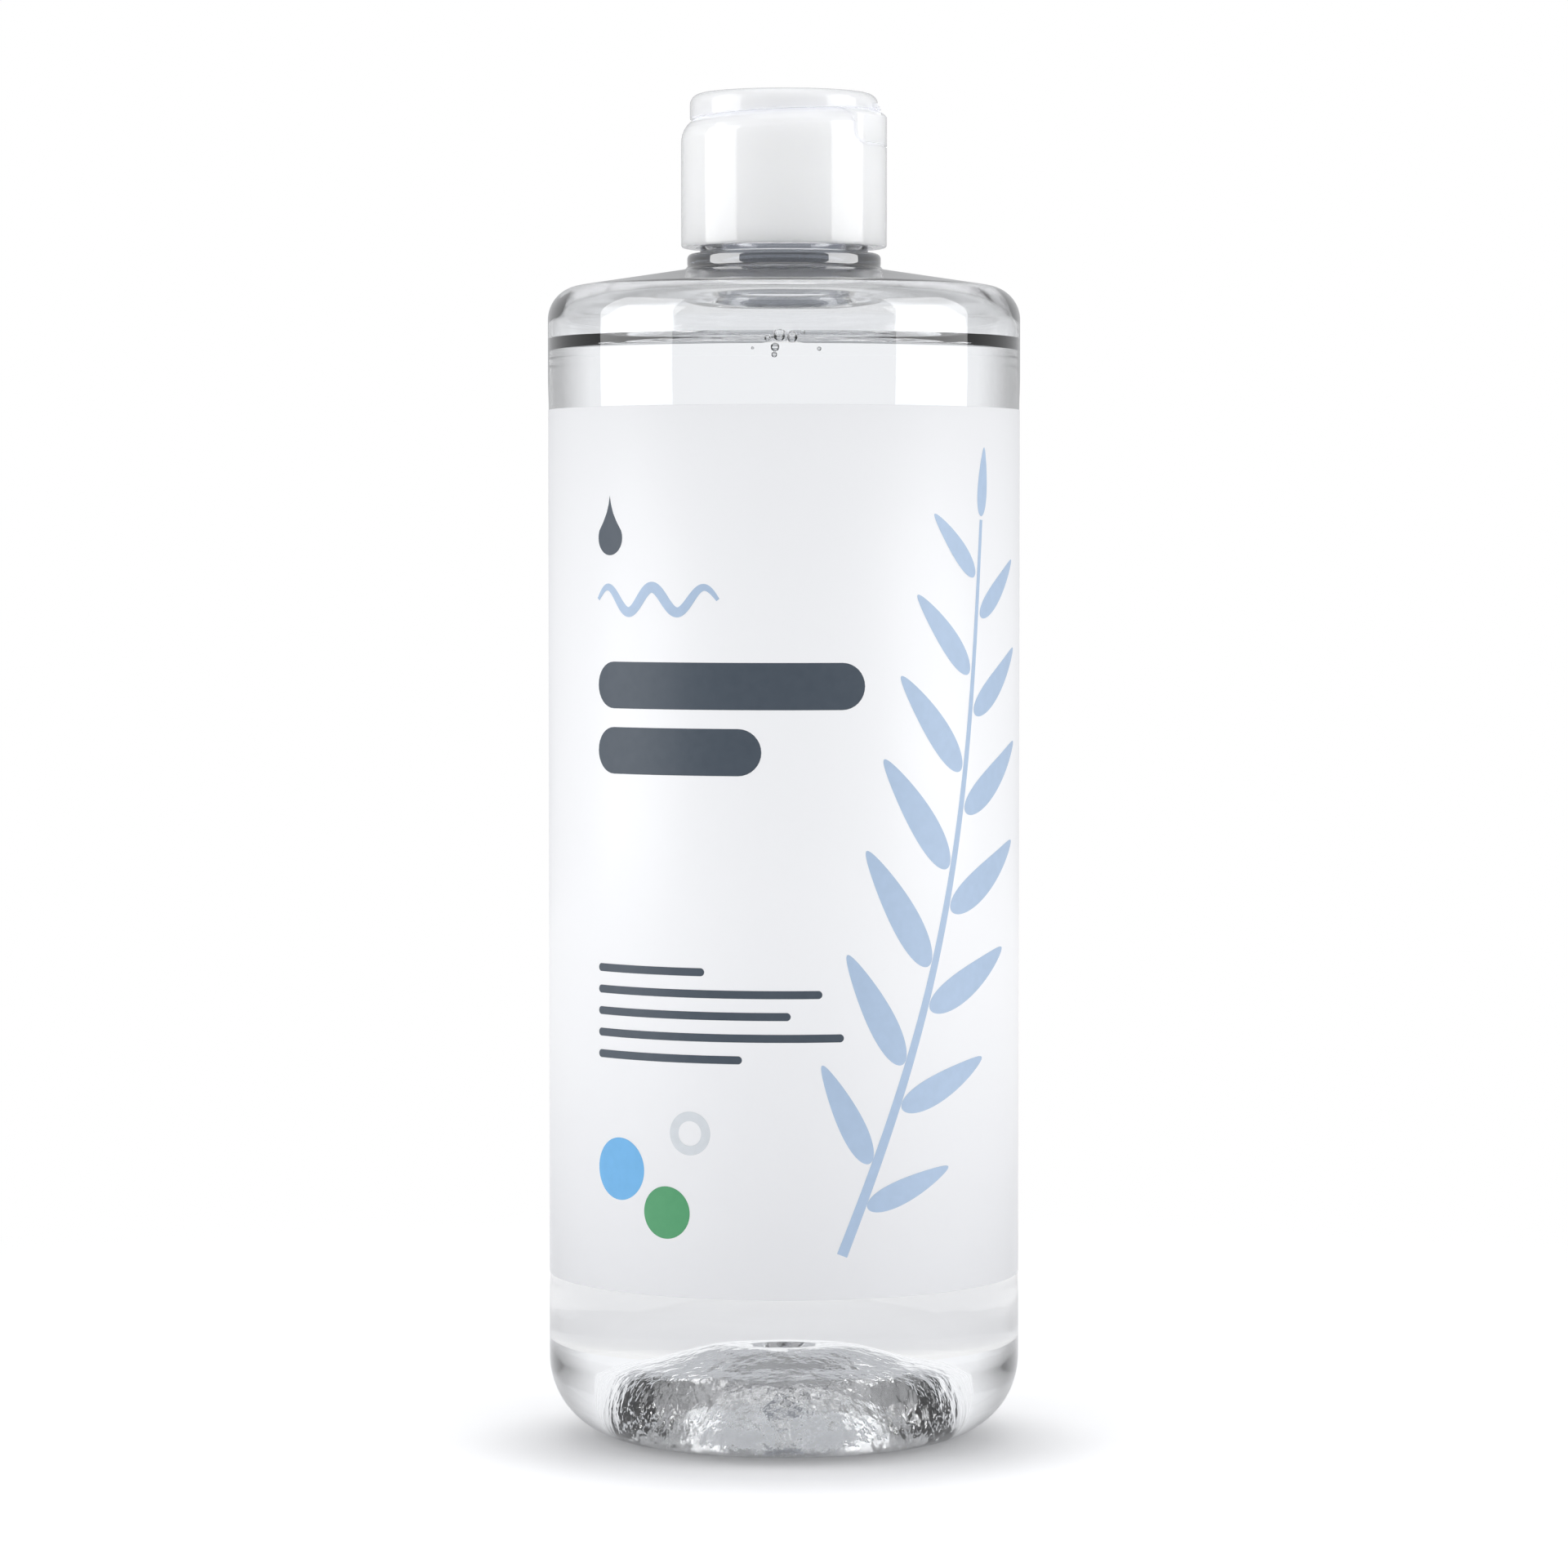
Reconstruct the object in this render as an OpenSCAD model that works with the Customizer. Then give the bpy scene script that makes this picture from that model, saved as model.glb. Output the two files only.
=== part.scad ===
// Clear round bottle with a flip-top screw cap, a wrap label and its gel fill.
// Millimetres. +Z is up, the origin is the centre of the ring that the bottle stands on,
// the label's front looks to -Y and the lid's hinge is at +X.

/* [Bottle] */
// Outside diameter of the bottle
bottle_d = 66.5; // [60:0.5:80]
// Height of the corner where the wall and the shoulder would meet
body_h = 161.6; // [120:0.2:200]
// Rise of the shoulder towards the neck, in degrees
shoulder_slope = 8.8; // [5:0.2:14]
// Outside radius of the shoulder's corner
shoulder_corner_r = 4.75; // [3:0.25:8]
// Outside radius of the heel
heel_r = 11.4; // [8:0.2:14]
// Width of the flat ring that the bottle stands on
foot_w = 0.8; // [0.5:0.1:2]
// Wall thickness of the blown body
wall = 0.7; // [0.5:0.05:1.2]
// Height of the pushed-up base above the table
push_up_h = 13.8; // [6:0.2:16]
// Thickness at the middle of the base
base_wall = 1; // [0.8:0.1:2]
// Diameter of the gate mark under the middle of the base
gate_d = 5.6; // [3:0.2:8]
// Depth of the gate mark
gate_h = 0.5; // [0.2:0.1:1]

/* [Neck] */
// Diameter of the transfer ring
ring_d = 27.26; // [25.5:0.02:30]
// Height of the transfer ring
ring_h = 2.2; // [1.4:0.1:3]
// Diameter of the plain bead between the ring and the thread
bead_d = 23.62; // [22.4:0.02:24]
// Height of the plain bead
bead_h = 2.4; // [1.5:0.1:4]
// Diameter of the neck at the root of its thread
neck_d = 21.6; // [20.6:0.1:22]
// Diameter of the mouth's bore
mouth_d = 18; // [15:0.2:19]
// Height from the top of the ring to the rim
finish_h = 16.5; // [14:0.1:20]

/* [Thread] */
// Outside diameter of the neck's thread
thread_d = 23.7; // [23:0.1:24]
// Rise of the thread in one turn
pitch = 3.175; // [2.8:0.025:3.6]
// Turns of the thread, which is also how far the cap turns before it is free
turns = 1.5; // [1:0.25:1.75]
// Half the width of the neck's thread at its root
neck_ridge_root = 1.1; // [0.9:0.05:1.15]
// Half the width of the neck's thread at its crest
neck_ridge_crest = 0.45; // [0.3:0.05:0.5]
// Half the width of the cap's thread at its root
cap_ridge_root = 0.75; // [0.6:0.05:0.8]
// Half the width of the cap's thread at its crest
cap_ridge_crest = 0.35; // [0.25:0.05:0.4]

/* [Label and fill] */
// Height of the label's lower edge above the table
label_z = 23.3; // [18:0.1:30]
// Distance from the label's upper edge up to the corner of the shoulder
label_drop = 16.7; // [12:0.1:50]
// Thickness of the label's film
label_t = 0.1; // [0.08:0.01:0.2]
// Depth of the panel that the label lies in
label_recess = 0.3; // [0.28:0.01:0.5]
// Gap between the label's two ends at the back
label_gap = 3; // [1:0.5:8]
// Thickness of the ink
ink_t = 0.08; // [0.04:0.01:0.12]
// Distance from the gel's surface up to the corner of the shoulder
fill_drop = 6.6; // [6:0.1:60]
// Gap that keeps the gel's solid clear of the wall
fill_gap = 0.15; // [0.1:0.01:0.3]

/* [Cap] */
// Thickness of the cap's skirt, outside its threaded bore
cap_wall = 2.08; // [1.7:0.02:3.5]
// Gap between the transfer ring and the cap's lower edge
cap_gap = 0.86; // [0.5:0.02:2]
// Gap between the crest of the neck's thread and the cap's bore
root_gap = 0.55; // [0.4:0.05:0.8]
// Gap between the crest of the cap's thread and the neck
crest_gap = 0.4; // [0.3:0.05:0.6]
// Thickness of the sealing ring
seal_t = 0.8; // [0.5:0.1:1.5]
// Diameter of the sealing ring's hole
seal_hole_d = 10; // [6:0.5:14]
// Thickness of the deck across the top of the cap
deck_t = 1.2; // [0.8:0.1:2]
// Height of the seam with the lid above the deck, at the middle
seam_rise = 1; // [0.8:0.1:2]
// Slope of the seam, up towards the hinge, in degrees
seam_tilt = 2.6; // [0:0.1:4]
// How far the cap's rounded shoulder comes in under the lid
shoulder_in = 1.98; // [1.4:0.02:2.2]
// How far the cap's rounded shoulder reaches down the wall
shoulder_down = 2.9; // [1.5:0.1:4]
// Diameter of the nozzle's hole
nozzle_d = 4; // [2:0.2:6]
// Wall thickness of the nozzle
nozzle_wall = 1.3; // [0.8:0.1:2]
// Gap between the nozzle and the closed lid's roof
nozzle_gap = 0.5; // [0.3:0.1:1]

/* [Lid and hinge] */
// How far the lid stands out over the rim that it rests on
lid_over = 0.74; // [0.5:0.02:0.8]
// Height of the lid above the seam, at the middle
lid_h = 3.15; // [2.8:0.05:5]
// Wall thickness of the lid
lid_wall = 1.1; // [1:0.1:1.6]
// Radius of the lid's upper edge
lid_edge_r = 1.5; // [0.8:0.1:2.2]
// Rise of the lid's slightly domed top
lid_crown = 0.25; // [0:0.05:0.6]
// Gap between the lid's stopper and the nozzle's hole, on each side
stopper_gap = 0.1; // [0.05:0.01:0.2]
// How far the stopper reaches into the nozzle
stopper_in = 1.4; // [0.8:0.1:2]
// Width of the hinge
hinge_w = 10; // [6:0.5:10.5]
// Radius of the hinge's rolled bead
hinge_r = 0.3; // [0.25:0.01:0.32]
// Running gap between the bead and its saddle
hinge_gap = 0.08; // [0.05:0.01:0.1]
// Width of the hinge panel in the cap's wall
panel_w = 20.4; // [16:0.2:22]
// Depth of the hinge panel below the seam
panel_h = 5; // [4:0.1:8]
// Width and depth of the groove around the hinge panel
groove = 0.35; // [0.2:0.05:0.5]

/* [Print] */
// Angle round the label from the middle of its front to the left edge of the print, in degrees
print_turn = 50; // [40:1:60]
// Height of the upper headline bar
headline_h = 6.4; // [4:0.2:8]
// Height of a small printed line
line_h = 1.1; // [0.6:0.1:1.6]
// Length of a leaf on the printed sprig
leaf_l = 19; // [12:0.5:22]
// Width of a leaf on the printed sprig
leaf_w = 6; // [4:0.2:8]
// Distance between two leaves on one side of the stem
leaf_pitch = 13.5; // [11:0.5:20]
// Width of the sprig's stem
stem_w = 1.5; // [0.8:0.1:2.4]
// Radius of the blue bubble
blue_r = 4.3; // [3:0.1:5]
// Radius of the green bubble
green_r = 3.6; // [2:0.1:4.5]
// Outer radius of the grey ring
grey_r = 3; // [2.2:0.1:4]
// Width of the grey ring
grey_w = 1.3; // [0.6:0.1:1.6]

/* [Hidden] */
$fn = 96;
eps = 0.01;
arc_steps = 9;
lap = 0.2;

bottle_r = bottle_d / 2;
foot_r = bottle_r - heel_r;
push_up_r = foot_r - foot_w;
fill_z = body_h - fill_drop;
// Powers of the curve of the pushed-up base, steep at the foot and flat at the middle
push_up_power = 2.4;

// Heights up the neck and the cap, each from the one below
ring_r = ring_d / 2;
ring_z = body_h + (bottle_r - ring_r) * tan(shoulder_slope);
finish_z = ring_z + ring_h;
rim_z = finish_z + finish_h;
cap_z = finish_z + cap_gap;
deck_z = rim_z + seal_t;
deck_top = deck_z + deck_t;
seam_z = deck_top + seam_rise;
lid_top_z = seam_z + lid_h;
roof_z = lid_top_z - lid_wall - lid_crown;
nozzle_top = roof_z - nozzle_gap;

cap_bore_r = thread_d / 2 + root_gap;
cap_crest_r = neck_d / 2 + crest_gap;
cap_r = cap_bore_r + cap_wall;
// Small roundings at the neck's rim, the cap's lower edge and the nozzle's lip
edge_r = 0.4;
// The cap's rim that the lid's wall rests on
rest_r = cap_r - shoulder_in;
rest_w = 0.9;
lid_r = rest_r + lid_over;
// The fold of the hinge, just outside the lid's wall and level with the seam
hinge_x = lid_r + 0.05;
hinge_z = seam_z + hinge_x * tan(seam_tilt);

// The saddle under the bead: how far it reaches inwards, outwards, down, and stays under the fold
saddle_in = 0.9;
saddle_out = 0.25;
saddle_down = 1.3;
saddle_clear = 0.2;

// The thread ends this far under the rim, and it fades out at both ends
thread_drop = 1.15;
thread_z = rim_z - thread_drop - neck_ridge_root - pitch * turns;
thread_steps = 44;
thread_fade = 5;

// The label lies on its glue, and the ink just clear of the label
glue_t = 0.06;
ink_gap = 0.02;
label_r = bottle_r - label_recess + glue_t + label_t;
label_top_z = body_h - label_drop;
label_h = label_top_z - label_z;

white = [0.95, 0.955, 0.965];
pale_blue = [0.72, 0.80, 0.89];
slate = [0.23, 0.27, 0.31];
badge_blue = [0.36, 0.61, 0.83];
green = [0.25, 0.56, 0.38];
grey = [0.78, 0.80, 0.82];

// Points of an arc from one angle to another
function arc(cx, cy, r, a0, a1, n = arc_steps) =
    [for (i = [0:n]) let (a = a0 + (a1 - a0) * i / n) [cx + r * cos(a), cy + r * sin(a)]];

// Points of a curve that leaves p0 towards p1 and comes to p2 from p1
function bend(p0, p1, p2, n = 5) =
    [for (i = [0:n]) let (t = i / n) (1 - t) * (1 - t) * p0 + 2 * t * (1 - t) * p1 + t * t * p2];

// Where the shoulder's cone stands at a radius, for a body drawn in by some thickness
function shoulder_at(r, inset) =
    body_h - inset / cos(shoulder_slope) + (bottle_r - r) * tan(shoulder_slope);

// The corner between the wall and the shoulder, from the wall upwards
function shoulder_corner(inset) =
    let (
        r = shoulder_corner_r - inset,
        wall_r = bottle_r - inset,
        turn = 90 - shoulder_slope,
        reach = r * tan(turn / 2),
        corner_z = shoulder_at(wall_r, inset)
    ) arc(wall_r - r, corner_z - reach, r, 0, turn);

// The heel, from the table up to the wall
function heel(inset) = arc(foot_r, heel_r, heel_r - inset, -90, 0);

// The pushed-up base from the middle outwards to its foot
function push_up(radius, height, foot) =
    [for (i = [0:arc_steps])
        let (r = radius * sin(90 * i / arc_steps))
        [r, foot + (height - foot) * sqrt(1 - pow(r / radius, push_up_power))]];

// The floor and the heel of the inside, for a surface drawn in by some thickness
function inside(inset) = concat(
    push_up(min(push_up_r + inset, foot_r - 0.05), push_up_h + base_wall + inset - wall, inset),
    heel(inset));

// A helical ridge, from a root radius to a crest radius, whose root is sunk in its wall
module ridge(root_r, crest_r, root_half, crest_half, z) {
    sink = root_r < crest_r ? -lap : lap;
    steps = round(thread_steps * turns);
    rows = [for (i = [0:steps])
        let (
            a = 360 * turns * i / steps,
            fade = max(0.05, min(1, i / thread_fade, (steps - i) / thread_fade)),
            r = root_r + (crest_r - root_r) * fade,
            half = crest_half + (root_half - crest_half) * (1 - fade),
            up = z + pitch * a / 360
        )
        for (p = [[root_r + sink, -root_half], [r, -half], [r, half], [root_r + sink, root_half]])
            [p[0] * cos(a), p[0] * sin(a), up + p[1]]];
    sides = [for (i = [0:steps - 1], k = [0:3])
        let (a = 4 * i + k, b = 4 * i + (k + 1) % 4) [a, b, b + 4, a + 4]];
    faces = concat([[3, 2, 1, 0]], sides, [[for (k = [0:3]) 4 * steps + k]]);
    // A ridge that points inwards has its outline the other way round
    polyhedron(rows, root_r < crest_r ? faces : [for (f = faces) [for (k = [len(f) - 1:-1:0]) f[k]]],
        convexity = 6);
}

// One blown piece: the body with its pushed-up base, the shoulder and the neck
module bottle() {
    panel_r = bottle_r - label_recess;
    mouth_r = mouth_d / 2;
    outside = concat(
        push_up(push_up_r, push_up_h, 0),
        heel(0),
        [[bottle_r, label_z - label_recess], [panel_r, label_z],
            [panel_r, label_top_z], [bottle_r, label_top_z + label_recess]],
        shoulder_corner(0),
        [[ring_r - ring_h / 4, shoulder_at(ring_r, 0)], [ring_r, ring_z + ring_h / 4]],
        arc(ring_r - ring_h / 3, finish_z - ring_h / 3, ring_h / 3, 0, 90, 4),
        [[bead_d / 2, finish_z], [bead_d / 2, finish_z + bead_h],
            [neck_d / 2, finish_z + bead_h + (bead_d - neck_d) / 2],
            [neck_d / 2, rim_z - edge_r], [neck_d / 2 - edge_r, rim_z]]);
    neck_in = [[mouth_r + ring_h / 2, shoulder_at(mouth_r + ring_h / 2, wall)],
        [mouth_r, ring_z + ring_h / 2], [mouth_r, rim_z]];
    bore = concat(inside(wall), shoulder_corner(wall), neck_in);
    color([0.86, 0.89, 0.91, 0.35]) {
        rotate_extrude() polygon(concat(outside, [for (i = [len(bore) - 1:-1:0]) bore[i]]));
        translate([0, 0, push_up_h - gate_h]) cylinder(d = gate_d, h = gate_h + base_wall / 2);
        ridge(neck_d / 2, thread_d / 2, neck_ridge_root, neck_ridge_crest, thread_z);
    }
}

// The gel, up to its level surface
module shower_gel() {
    inset = wall + fill_gap;
    color([0.90, 0.92, 0.95, 0.5])
        rotate_extrude() polygon(concat(inside(inset), [[bottle_r - inset, fill_z], [0, fill_z]]));
}

// The wrap label, with its ends apart at the back
module label() {
    gap_angle = label_gap / label_r * 180 / PI;
    color(white)
        rotate([0, 0, 90 + gap_angle / 2])
            rotate_extrude(angle = 360 - gap_angle)
                translate([label_r - label_t, label_z]) square([label_t, label_h]);
}

// The left edge of the print, along the label from the middle of its front
print_left = -label_r * print_turn * PI / 180;

// How far round the label a place along it lies, in degrees from the middle of its front
function round_angle(along) = along / label_r * 180 / PI;

// Lays a flat outline of [place along the label, height] points on the label as a film of ink
module printed(points, centre) {
    intersection() {
        difference() {
            translate([0, 0, label_z]) cylinder(r = label_r + ink_gap + ink_t, h = label_h);
            translate([0, 0, label_z - 1]) cylinder(r = label_r + ink_gap, h = label_h + 2);
        }
        rotate([90, 0, round_angle(centre)]) linear_extrude(height = bottle_d)
            polygon([for (p = points) [label_r * sin(round_angle(p[0] - centre)), p[1]]]);
    }
}

// Outlines for the print: a bar with round ends, a disc, a drop, a leaf and a wavy stroke
function bar(left, right, z, h) =
    let (r = h / 2) concat(arc(right - r, z + r, r, -90, 90, 6), arc(left + r, z + r, r, 90, 270, 6));
function disc(x, z, r, n = 32) = [for (i = [0:n - 1]) [x + r * cos(360 * i / n), z + r * sin(360 * i / n)]];
function drop(x, z, r) = concat(arc(x, z, r, -210, 30, 16), [[x, z + 2.3 * r]]);
function leaf(root, l, w, a, n = 8) =
    [for (i = [0:2 * n - 1])
        let (
            t = 180 * i / n,
            along = l * (1 - cos(t)) / 2,
            out = w / 2 * sin(t) * (0.72 + 0.28 * cos(t))
        )
        root + along * [cos(a), sin(a)] + out * [-sin(a), cos(a)]];
function wave(left, right, z, rise, w, bends, n = 30) =
    let (line = [for (i = [0:n]) let (t = i / n)
        [left + (right - left) * t, z + rise * sin(360 * bends * t), w / 2 * sqrt(sin(7 + 166 * t))]])
    concat(
        [for (p = line) [p[0], p[1] - p[2]]],
        [for (i = [n:-1:0]) [line[i][0], line[i][1] + line[i][2]]]);

// The sprig's stem: where it stands at a share of its height, and its slope there
stem_z = label_z + 6;
stem_l = label_h - 14;
stem_left = 0.24 * label_r;
stem_lean = 0.785 * label_r;
stem_sway = 0.15 * label_r;
stem_top = 0.93;
stem_taper = 0.55;
function stem_at(t) = [stem_left + stem_lean * t + stem_sway * sin(200 * t), stem_z + stem_l * t];
function stem_slope(t) = let (d = stem_at(t + eps) - stem_at(t - eps)) atan2(d[1], d[0]);
leaf_turn = 48;
leaf_gap = 0.5;
// Where a pair's leaves leave the stem, as a share of the pair's stretch, and how far apart
leaf_place = 0.65;
leaf_stagger = 0.2;
// Leaves are longest a little under the middle of the stem
function leaf_size(t) = 1 - 0.45 * pow(abs(2 * t - 0.8), 1.5);

// Where the headline, the small lines and the wave lie
headline_z = label_z + 0.66 * label_h;
headline_l = [1.21, 0.78] * label_r;
headline_step = 1.4;
wave_l = 0.6 * label_r;
wave_up = 8.5;
wave_rise = 1.7;
wave_w = 1.5;
wave_bends = 2.5;
drop_r = 2.4;
drop_down = 18;
lines_z = label_z + 0.24 * label_h;
line_step = 2.7;
line_lengths = [0.54, 1.03, 0.9, 1.12, 0.7] * label_r;

// The pale blue sprig up the right side and the small wave over the headline
module print_pale_blue() {
    steps = 24;
    side = [for (i = [0:steps]) let (t = stem_top * i / steps)
        [stem_at(t), stem_slope(t), stem_w / 2 * (1 - stem_taper * i / steps)]];
    edge = function (s, way) s[0] + way * s[2] * [-sin(s[1]), cos(s[1])];
    stem = concat([for (s = side) edge(s, -1)], [for (i = [steps:-1:0]) edge(side[i], 1)]);
    pairs = floor(stem_l * stem_top / leaf_pitch);
    tip = stem_at(stem_top) + [0, leaf_gap];
    color(pale_blue) {
        printed(stem, stem_at(0.5)[0]);
        for (i = [0:pairs - 1], way = [-1, 1]) {
            t = (i + leaf_place + leaf_stagger * way) / (pairs + 0.5) * stem_top;
            turn = stem_slope(t) + way * leaf_turn;
            root = stem_at(t) + (stem_w / 2 + leaf_gap) * [cos(turn), sin(turn)];
            l = leaf_l * leaf_size(t);
            printed(leaf(root, l, leaf_w * leaf_size(t), turn), root[0] + l * cos(turn) / 2);
        }
        printed(leaf(tip, leaf_l / 2, leaf_w / 2, stem_slope(stem_top)), tip[0]);
        printed(
            wave(print_left, print_left + wave_l, headline_z + headline_h + wave_up,
                wave_rise, wave_w, wave_bends),
            print_left + wave_l / 2);
    }
}

// A printed bar from the left edge of the print
module printed_bar(length, z, h) {
    printed(bar(print_left, print_left + length, z, h), print_left + length / 2);
}

// The headline's two bars, the small lines under them and the drop over them
module print_slate() {
    color(slate) {
        for (i = [0:1])
            printed_bar(headline_l[i], headline_z - i * headline_step * headline_h, headline_h);
        for (i = [0:len(line_lengths) - 1])
            printed_bar(line_lengths[i], lines_z + line_step * line_h * (len(line_lengths) - i), line_h);
        printed(drop(print_left + drop_r, label_top_z - drop_down, drop_r), print_left + drop_r);
    }
}

// Three bubbles in a loose cluster at the lower left: blue, green under it and a grey ring over it
bubble_step = 5.5;
blue_x = print_left + blue_r;
blue_z = label_z + 0.14 * label_h;
green_x = blue_x + blue_r + green_r;
green_z = blue_z - bubble_step;
grey_x = green_x + green_r;
grey_z = blue_z + bubble_step;
module print_blue() {
    color(badge_blue) printed(disc(blue_x, blue_z, blue_r), blue_x);
}
module print_green() {
    color(green) printed(disc(green_x, green_z, green_r), green_x);
}
module print_grey() {
    color(grey) difference() {
        printed(disc(grey_x, grey_z, grey_r), grey_x);
        rotate([90, 0, round_angle(grey_x)])
            translate([0, grey_z, 0]) cylinder(r = grey_r - grey_w, h = bottle_d);
    }
}

// The soft ring between the bottle's rim and the cap's deck
module seal_ring() {
    seal_r = (cap_crest_r + neck_d / 2) / 2;
    color([0.93, 0.93, 0.90]) translate([0, 0, rim_z]) difference() {
        cylinder(r = seal_r, h = seal_t);
        translate([0, 0, -1]) cylinder(d = seal_hole_d, h = seal_t + 2);
    }
}

// Places its children in the frame of the sloping seam
module at_seam() {
    translate([0, 0, seam_z]) rotate([0, -seam_tilt, 0]) children();
}

// A round body under the seam, whose shoulder is rounded off inwards and comes out past the wall
module rounded_below(in, down) {
    deep = 2 * (seam_z - cap_z);
    past = 0.14;
    curve = bend([cap_r - in, 0], [cap_r - past, -0.3 * down], [cap_r + past, -down]);
    at_seam() rotate_extrude()
        polygon(concat([[0, -deep], [0, 0]], curve, [[cap_r + 1, -down - 1], [cap_r + 1, -deep]]));
}

// The outline of the hinge panel, seen from +X, grown by a margin
panel_corner_r = 1.5;
module panel(margin) {
    r = panel_corner_r;
    z = seam_z + cap_r * tan(seam_tilt) - panel_h;
    rotate([90, 0, 90]) linear_extrude(height = 2 * cap_r)
        polygon(concat(
            arc(-panel_w / 2 + r, z + r, r + margin, 180, 270, 6),
            arc(panel_w / 2 - r, z + r, r + margin, 270, 360, 6),
            [[panel_w / 2 + margin, seam_z + lid_h], [-panel_w / 2 - margin, seam_z + lid_h]]));
}

// The room that the hinge's bead turns in
module bead_room() {
    translate([hinge_x, 0, hinge_z]) rotate([90, 0, 0])
        cylinder(r = hinge_r + hinge_gap, h = hinge_w + 1, center = true);
}

// The screw cap: threaded skirt, deck with its nozzle, and the hinge panel at +X
panel_proud = 0.4;
module cap_body() {
    nozzle_r = nozzle_d / 2;
    lip_r = nozzle_r + nozzle_wall;
    color(white) {
        difference() {
            intersection() {
                rotate_extrude() polygon(concat([[0, cap_z]],
                    arc(cap_r - edge_r, cap_z + edge_r, edge_r, -90, 0, 4),
                    [[cap_r, lid_top_z], [0, lid_top_z]]));
                union() {
                    rounded_below(shoulder_in, shoulder_down);
                    intersection() {
                        rounded_below(shoulder_in - panel_proud, shoulder_down / 2);
                        panel(0);
                    }
                }
            }
            translate([0, 0, cap_z - 1]) cylinder(r = cap_bore_r, h = deck_z - cap_z + 1);
            translate([0, 0, deck_top]) cylinder(r = rest_r - rest_w, h = lid_h + seam_rise);
            translate([0, 0, deck_z - 1]) cylinder(r = nozzle_r, h = deck_t + 2);
            bead_room();
            difference() {
                panel(groove);
                panel(0);
                translate([0, 0, cap_z]) cylinder(r = cap_r - groove, h = lid_top_z - cap_z);
            }
        }
        rotate_extrude() polygon([[nozzle_r, deck_top - lap], [lip_r, deck_top - lap],
            [lip_r, nozzle_top - edge_r], [lip_r - edge_r, nozzle_top], [nozzle_r, nozzle_top]]);
        difference() {
            translate([hinge_x - saddle_in, -hinge_w / 2, hinge_z - saddle_down])
                cube([saddle_in + saddle_out, hinge_w, saddle_down - saddle_clear]);
            bead_room();
        }
        ridge(cap_bore_r, cap_crest_r, cap_ridge_root, cap_ridge_crest, thread_z - pitch / 2);
    }
}

// The flip lid: a shallow dish with a stopper inside and the hinge's bead at +X
lug_up = 0.08;
module flip_lid() {
    stopper_r = nozzle_d / 2 - stopper_gap;
    stopper_z = nozzle_top - stopper_in;
    edge_z = lid_top_z - lid_crown - lid_edge_r;
    lug_l = lid_wall + 2 * hinge_r;
    color(white) {
        intersection() {
            difference() {
                rotate_extrude() polygon(concat([[0, deck_z], [lid_r, deck_z]],
                    arc(lid_r - lid_edge_r, edge_z, lid_edge_r, 0, 80, 6),
                    [[lid_r / 2, lid_top_z - lid_crown / 4], [0, lid_top_z]]));
                translate([0, 0, deck_z - 1]) cylinder(r = lid_r - lid_wall, h = roof_z - deck_z + 1);
            }
            at_seam() translate([-2 * cap_r, -2 * cap_r, 0]) cube(4 * cap_r);
        }
        rotate_extrude() polygon([[0, stopper_z], [stopper_r - edge_r, stopper_z],
            [stopper_r, stopper_z + edge_r], [stopper_r, roof_z + lap], [0, roof_z + lap]]);
        translate([hinge_x, 0, hinge_z]) {
            rotate([90, 0, 0]) cylinder(r = hinge_r, h = hinge_w, center = true);
            rotate([0, -seam_tilt, 0]) translate([-lug_l, -hinge_w / 2, lug_up])
                cube([lug_l, hinge_w, 2 * hinge_r]);
        }
    }
}

bottle();
shower_gel();
label();
print_pale_blue();
print_slate();
print_blue();
print_green();
print_grey();
seal_ring();
cap_body();
flip_lid();
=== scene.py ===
"""Studio scene of a clear bottle of shower gel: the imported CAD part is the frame, and this script dresses it.

Lengths in the helpers are millimetres, in the CAD's frame, and become metres when a mesh is made.
"""

from math import atan2, cos, degrees, floor, pi, radians, sin, sqrt, tan

import bmesh
import bpy
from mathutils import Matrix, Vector


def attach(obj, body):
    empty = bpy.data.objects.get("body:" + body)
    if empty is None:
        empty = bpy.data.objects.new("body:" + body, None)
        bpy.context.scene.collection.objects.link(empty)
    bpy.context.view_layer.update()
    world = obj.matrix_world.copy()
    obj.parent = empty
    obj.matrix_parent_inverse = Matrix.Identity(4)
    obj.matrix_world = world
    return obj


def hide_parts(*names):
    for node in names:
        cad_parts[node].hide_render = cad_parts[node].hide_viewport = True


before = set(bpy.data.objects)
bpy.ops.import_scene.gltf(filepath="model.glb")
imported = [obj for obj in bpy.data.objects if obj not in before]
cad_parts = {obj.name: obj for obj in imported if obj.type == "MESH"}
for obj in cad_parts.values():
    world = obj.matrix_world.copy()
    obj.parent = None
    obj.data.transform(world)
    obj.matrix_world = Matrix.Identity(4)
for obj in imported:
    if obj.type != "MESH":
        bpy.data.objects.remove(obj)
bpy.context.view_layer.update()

MM = 0.001
ROUND = 192  # segments round the bottle

# Sizes of the CAD part, in millimetres
BOTTLE_R = 33.25
BODY_H = 161.6
SLOPE = radians(8.8)
CORNER_R = 4.75
HEEL_R = 11.4
FOOT_R = BOTTLE_R - HEEL_R
WALL = 0.7
RING_R = 13.63
RING_H = 2.2
BEAD_R = 11.81
BEAD_H = 2.4
NECK_R = 10.8
MOUTH_R = 9.0
RING_Z = BODY_H + (BOTTLE_R - RING_R) * tan(SLOPE)
FINISH_Z = RING_Z + RING_H
RIM_Z = FINISH_Z + 16.5
LABEL_Z = 23.3
LABEL_TOP = BODY_H - 16.7
LABEL_H = LABEL_TOP - LABEL_Z
FILL_Z = BODY_H - 6.6

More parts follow.
